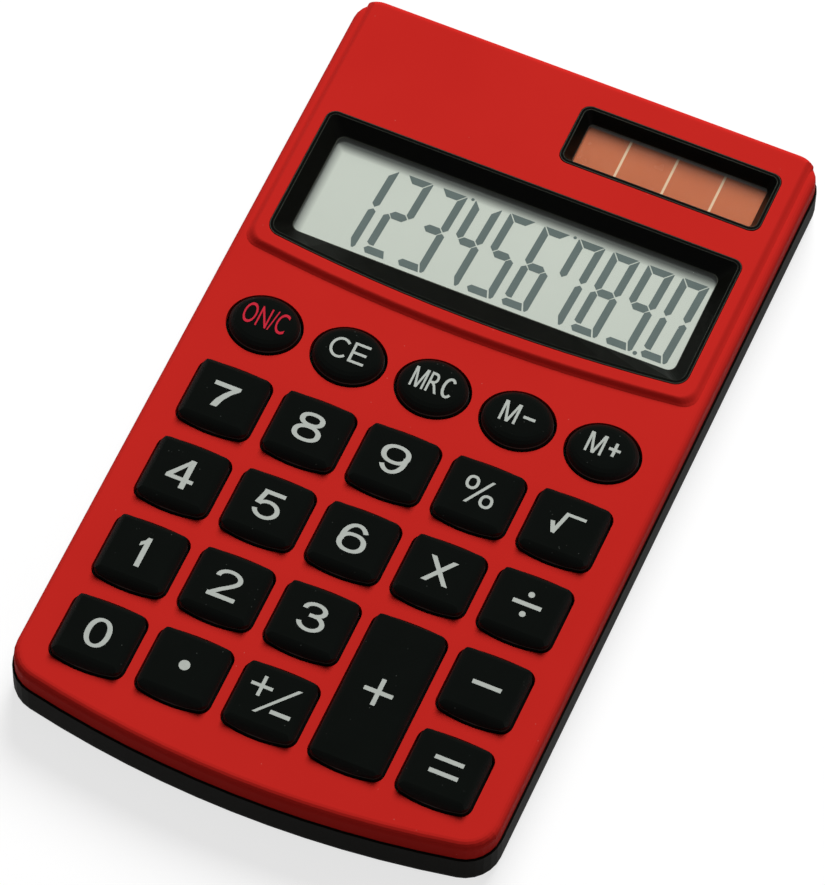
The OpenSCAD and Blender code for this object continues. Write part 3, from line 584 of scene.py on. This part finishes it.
def arc(x, y, wide, tall, start, end):
    """Points on an oval arc of those half sizes, between two angles in degrees."""
    turns = [math.radians(start + (end - start) * i / ARC_STEPS) for i in range(ARC_STEPS + 1)]
    return [(x + wide * math.cos(turn), y + tall * math.sin(turn)) for turn in turns]


def stroke(points, weight=WEIGHT, stretch=STRETCH):
    """A printed line along those points, its upright runs wider than its level ones by the stretch."""
    line = [Vector((x / stretch, y)) for x, y in points]
    left = []
    right = []
    for i, point in enumerate(line):
        behind = (point - line[max(i - 1, 0)]).normalized()
        ahead = (line[min(i + 1, len(line) - 1)] - point).normalized()
        run = (behind + ahead).normalized()
        side = Vector((-run.y, run.x)) * weight / 2
        left.append(point + side)
        right.append(point - side)
    return plate([(point.x * stretch, point.y) for point in left + right[::-1]], PRINT)


def letter_m(wide, tall, x=0.0, y=0.0):
    """A printed M whose point reaches the foot of the letter."""
    return placed(plate([(across * wide, up * tall) for across, up in LETTER_M], PRINT), x, y)


def letter_c(wide, tall, x=0.0, y=0.0):
    """A printed C: an oval a tenth wider than the letter, open at its right."""
    middle = x + wide / 20
    half_wide = wide * 0.55 - LETTER / 2
    half_tall = (tall - LETTER) / 2
    return stroke(arc(middle, y, half_wide, half_tall, OPENING, 360 - OPENING), LETTER, stretch=1.0)


def letter_e(wide, tall, x=0.0, y=0.0):
    """A printed E, as its upright and three arms, the middle one a twentieth shorter."""
    reach = (tall - LETTER) / 2
    upright = bar(LETTER, tall, x - (wide - LETTER) / 2, y)
    middle = bar(wide * 0.95, LETTER, x - wide / 40, y)
    return [upright, middle, bar(wide, LETTER, x, y - reach), bar(wide, LETTER, x, y + reach)]


LEGENDS = {
    "key_0": [loop(3.55, 4.61, 0.04, -0.2, 1.38)],
    "key_2": [stroke(arc(-0.03, 1.0, 1.58, 1.03, 183, -35) + [(0.85, 0.02), (-0.5, -0.95), (-1.5, -1.8)]),
              bar(4.05, 0.65, -0.02, -2.0)],
    "key_3": [stroke(arc(-0.1, 1.25, 1.42, 0.88, 188, -70)), stroke(arc(0.02, -0.76, 1.6, 1.14, 75, -172)),
              bar(1.2, 0.55, 0.0, 0.32)],
    "key_4": [bar(0.8, 4.68, 0.68, -0.08), bar(3.97, 0.59, -0.115, -1.035), plate(FOUR, PRINT)],
    "key_5": [bar(3.1, 0.6, 0.19, 2.0), stroke([(-1.0, 1.9), (-1.58, -0.1)]),
              stroke(arc(0.0, -0.73, 1.58, 1.25, 148, -170))],
    "key_6": [loop(4.09, 3.12, -0.01, -0.72), stroke(arc(-0.02, 0.06, 1.6, 2.04, 33, 200))],
    "key_8": [loop(3.64, 2.25, 0.0, 1.255), loop(4.12, 2.65, 0.01, -0.955)],
    "key_9": [loop(4.2, 3.07, -0.02, 0.885), stroke(arc(0.0, 0.09, 1.6, 2.04, 213, 380))],
    "key_1": [plate(ONE, PRINT)],
    "key_7": [plate(SEVEN, PRINT)],
    "key_point": [disc(0.78, PRINT)],
    "key_sign": [cross(3.1, 3.17, 0.5, -1.86, 1.34), plate(SLASH, PRINT), bar(2.88, 0.62, 2.1, -1.77)],
    "key_plus": [cross(4.15, 4.25, BAR)],
    "key_minus": [bar(4.15, x=0.18)],
    "key_equals": [bar(4.15, x=0.18, y=1.07), bar(4.15, x=0.18, y=-1.07)],
    "key_times": [plate(TIMES, PRINT), plate([(-x, y) for x, y in TIMES], PRINT)],
    "key_divide": [bar(4.11, x=0.14, y=0.14), placed(disc(0.45, PRINT), 0.14, 1.74),
                   placed(disc(0.45, PRINT), 0.14, -1.46)],
    "key_percent": [placed(ring(1.9, 2.25, 0.42, PRINT), -1.42, 1.18), plate(PERCENT, PRINT),
                    placed(ring(1.95, 2.15, 0.42, PRINT), 1.42, -1.0)],
    "key_root": [stroke([(-1.8, 0.1), (-1.18, -1.5)], 0.46), stroke([(-1.2, -1.69), (-0.2, 1.98)], 0.42),
                 bar(2.6, 0.46, 1.11, 1.75)],
    "key_on_clear": [word("ON/C", 6.38, 3.37, y=0.16)],
    "key_clear_entry": [letter_c(2.72, 3.37, -1.42)] + letter_e(2.34, 3.3, 1.5),
    "key_memory_recall": [letter_m(2.02, 3.25, -2.07), word("R", 1.73, 3.25, 0.12),
                          letter_c(1.7, 3.37, 2.15)],
    "key_memory_minus": [letter_m(2.44, 3.25, -1.18), bar(1.73, 0.45, 1.62)],
    "key_memory_plus": [letter_m(2.44, 3.25, -1.17, 0.18), cross(1.7, 2.2, 0.44, 1.56, 0.18)],
}

for name, meshes in LEGENDS.items():
    low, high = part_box(name)
    seat = Matrix.Translation(((low.x + high.x) / 2, (low.y + high.y) / 2 + ABOVE_MIDDLE,
                               high.z + PROUD - PRINT / 2))
    for layer, mesh in enumerate(meshes):
        mesh.transform(Matrix.Translation((0, 0, layer * LAYER)) @ seat)
    ink = crimson_ink if name == "key_on_clear" else grey_ink
    gather(name.replace("key_", "legend_"), meshes, ink, name + "_body")


# Display figures: seven-segment shapes on the front glass, leaning a little to the right

# How thick the figures are
CRYSTAL = 0.012 * MM
# Their other sizes are in millimetres, and their places are from the glass's near left corner
FIGURE_PITCH = 5.183
FIRST_FIGURE = (6.32, 3.94)
# How far the figures lean over in each millimetre of their height
LEAN = 0.055
POINT_RADIUS = 0.32
POINT_PLACE = (52.35, 4.1)
# The small marks that part the thousands, at the top of the figures
MARK_RADIUS = 0.24
MARK_PLACES = [(22.2, 18.05), (37.6, 18.05)]
SEGMENTS = {
    "a": [(0.22, 14.2), (1.22, 13.05), (2.78, 13.05), (3.78, 14.2)],
    "b": [(4.0, 14.0), (3.9, 14.1), (2.9, 12.95), (2.9, 7.95), (3.45, 7.4), (4.0, 7.95)],
    "c": [(4.0, 6.75), (3.45, 7.15), (2.9, 6.65), (2.9, 1.45), (3.5, 0.1), (3.75, 0.1), (4.0, 0.5)],
    "d": [(0.0, 0.7), (0.5, 0.0), (3.3, 0.0), (2.8, 1.2), (0.45, 1.2)],
    "e": [(0.0, 6.75), (0.0, 1.75), (0.45, 1.45), (1.1, 1.45), (1.1, 6.65), (0.55, 7.15)],
    "f": [(0.0, 14.0), (0.0, 7.95), (0.55, 7.4), (1.1, 7.95), (1.1, 12.95), (0.1, 14.1)],
    "g": [(0.68, 7.28), (1.25, 6.6), (2.75, 6.6), (3.32, 7.28), (2.75, 7.88), (1.25, 7.88)],
}
LIT = {"0": "abcdef", "1": "bc", "2": "abged", "3": "abgcd", "4": "fgbc", "5": "afgcd", "6": "afgedc",
       "7": "fabc", "8": "abcdefg", "9": "abcdfg"}
segments = {}
for name, points in SEGMENTS.items():
    segments[name] = plate([(x + LEAN * y, y) for x, y in points], CRYSTAL)
figures = []
for count, figure in enumerate("1234567890"):
    for part in LIT[figure]:
        x = FIRST_FIGURE[0] + count * FIGURE_PITCH
        figures.append(placed(segments[part].copy(), x, FIRST_FIGURE[1]))
figures.append(placed(disc(POINT_RADIUS, CRYSTAL), *POINT_PLACE))
figures += [placed(disc(MARK_RADIUS, CRYSTAL), *spot) for spot in MARK_PLACES]
low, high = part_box("lcd_front_glass")
seat = Matrix.Translation((low.x, low.y, high.z + CRYSTAL / 2))
for mesh in figures:
    mesh.transform(seat)
gather("display_figures", figures, crystal, "case")


# Stage: floor, soft lights, the photograph's camera

WHITE = (1, 1, 1, 1)
FLOOR_SIZE = 4
FLOOR_GLOW = 0.72
SKY_STRENGTH = 0.15
# The camera that was fitted to the photograph: its place in metres, its turns in degrees, and its focal
# length in pixels of the photograph
CAMERA_PLACE = (0.17450, -0.42819, 0.76737)
CAMERA_HEADING = 22.2505
CAMERA_TILT = 31.171
CAMERA_ROLL = 1.618
FOCAL_PIXELS = 6544.46
PHOTO_HEIGHT = 885
SENSOR = 36

clear_selection()
bpy.ops.mesh.primitive_plane_add(size=FLOOR_SIZE)
floor = bpy.context.object
floor.name = "floor"
# White card as the camera, gloss and glass see it; as a bounce it is grey, so that the walls keep their shade
floor_mat, floor_shader = begin("white_card")[:2]
rays = add(floor_mat, "ShaderNodeLightPath")
mirror = add(floor_mat, "ShaderNodeMath",
             {0: rays.outputs["Is Glossy Ray"], 1: rays.outputs["Is Transmission Ray"]}, operation="MAXIMUM")
seen = add(floor_mat, "ShaderNodeMath", {0: rays.outputs["Is Camera Ray"], 1: mirror.outputs[0]},
           operation="MAXIMUM")
glow = add(floor_mat, "ShaderNodeMath", {0: seen.outputs[0], 1: FLOOR_GLOW}, operation="MULTIPLY")
wire(floor_mat, floor_shader, Base_Color=srgb("#989898"), Roughness=0.9, Emission_Color=WHITE,
     Emission_Strength=glow.outputs[0])
floor.data.materials.append(floor_mat)
floor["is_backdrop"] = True

world = bpy.data.worlds.new("studio")
bpy.context.scene.world = world
world.use_nodes = True
world.node_tree.nodes.clear()
sky = add(world, "ShaderNodeBackground", {"Color": WHITE, "Strength": SKY_STRENGTH})
add(world, "ShaderNodeOutputWorld", {"Surface": sky.outputs[0]})


def soft_light(name, place, size, power, mirrored):
    """A round soft lamp aimed at the part; one that isn't mirrored leaves no veil on dark plastic."""
    light = bpy.data.lights.new(name, "AREA")
    light.shape = "DISK"
    light.size = size
    light.energy = power
    obj = bpy.data.objects.new(name, light)
    obj.location = place
    obj.rotation_euler = (-Vector(place)).to_track_quat("-Z", "Y").to_euler()
    obj.visible_glossy = mirrored
    bpy.context.collection.objects.link(obj)


soft_light("far_light", place=(-0.1, 1.45, 1.35), size=1.2, power=50.3, mirrored=False)
soft_light("side_light", place=(0.75, -0.15, 0.4), size=0.4, power=0.2, mirrored=True)

camera_data = bpy.data.cameras.new("photo_view")
camera_data.sensor_width = SENSOR
camera_data.lens = FOCAL_PIXELS * SENSOR / PHOTO_HEIGHT
camera_data.clip_end = 10
camera = bpy.data.objects.new("photo_view", camera_data)
heading = Matrix.Rotation(math.radians(CAMERA_HEADING), 4, "Z")
tilt = Matrix.Rotation(math.radians(CAMERA_TILT), 4, "X")
roll = Matrix.Rotation(math.radians(CAMERA_ROLL), 4, "Z")
camera.matrix_world = Matrix.Translation(CAMERA_PLACE) @ (heading @ tilt @ roll)
bpy.context.collection.objects.link(camera)
bpy.context.scene.camera = camera

bpy.context.scene.view_settings.view_transform = "Standard"

low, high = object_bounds()
